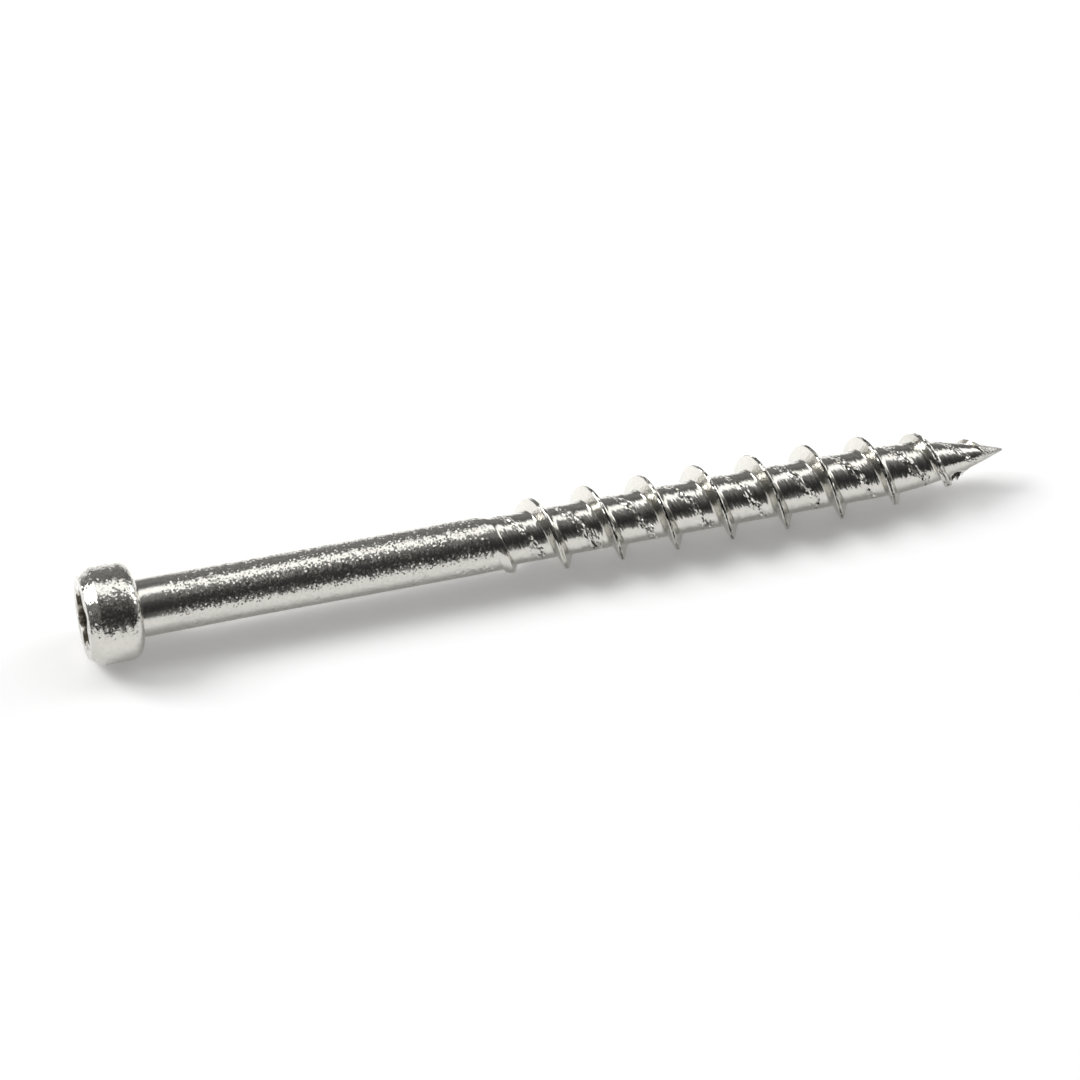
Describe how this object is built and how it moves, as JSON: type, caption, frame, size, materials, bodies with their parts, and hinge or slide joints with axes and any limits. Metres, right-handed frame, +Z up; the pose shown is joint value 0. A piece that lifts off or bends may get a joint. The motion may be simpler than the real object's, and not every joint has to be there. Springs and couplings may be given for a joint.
{
  "type": "deck screw",
  "caption": "Steel deck screw with a small cylindrical trim head, lobed drive socket, plain shank, coarse sharp thread and fluted point.",
  "frame": {"origin": "on the floor under the middle of the screw as it lies at rest on its head's rim and its thread's crests", "axes": "+X along the screw from the head to the point, dipping 0.73 degrees to the point; +Z up"},
  "size_m": [0.0604, 0.0062, 0.0063],
  "materials": {
    "bright_steel": "bright"
  },
  "bodies": {
    "root": {"deck_screw": "bright_steel"}
  },
  "joints": []
}
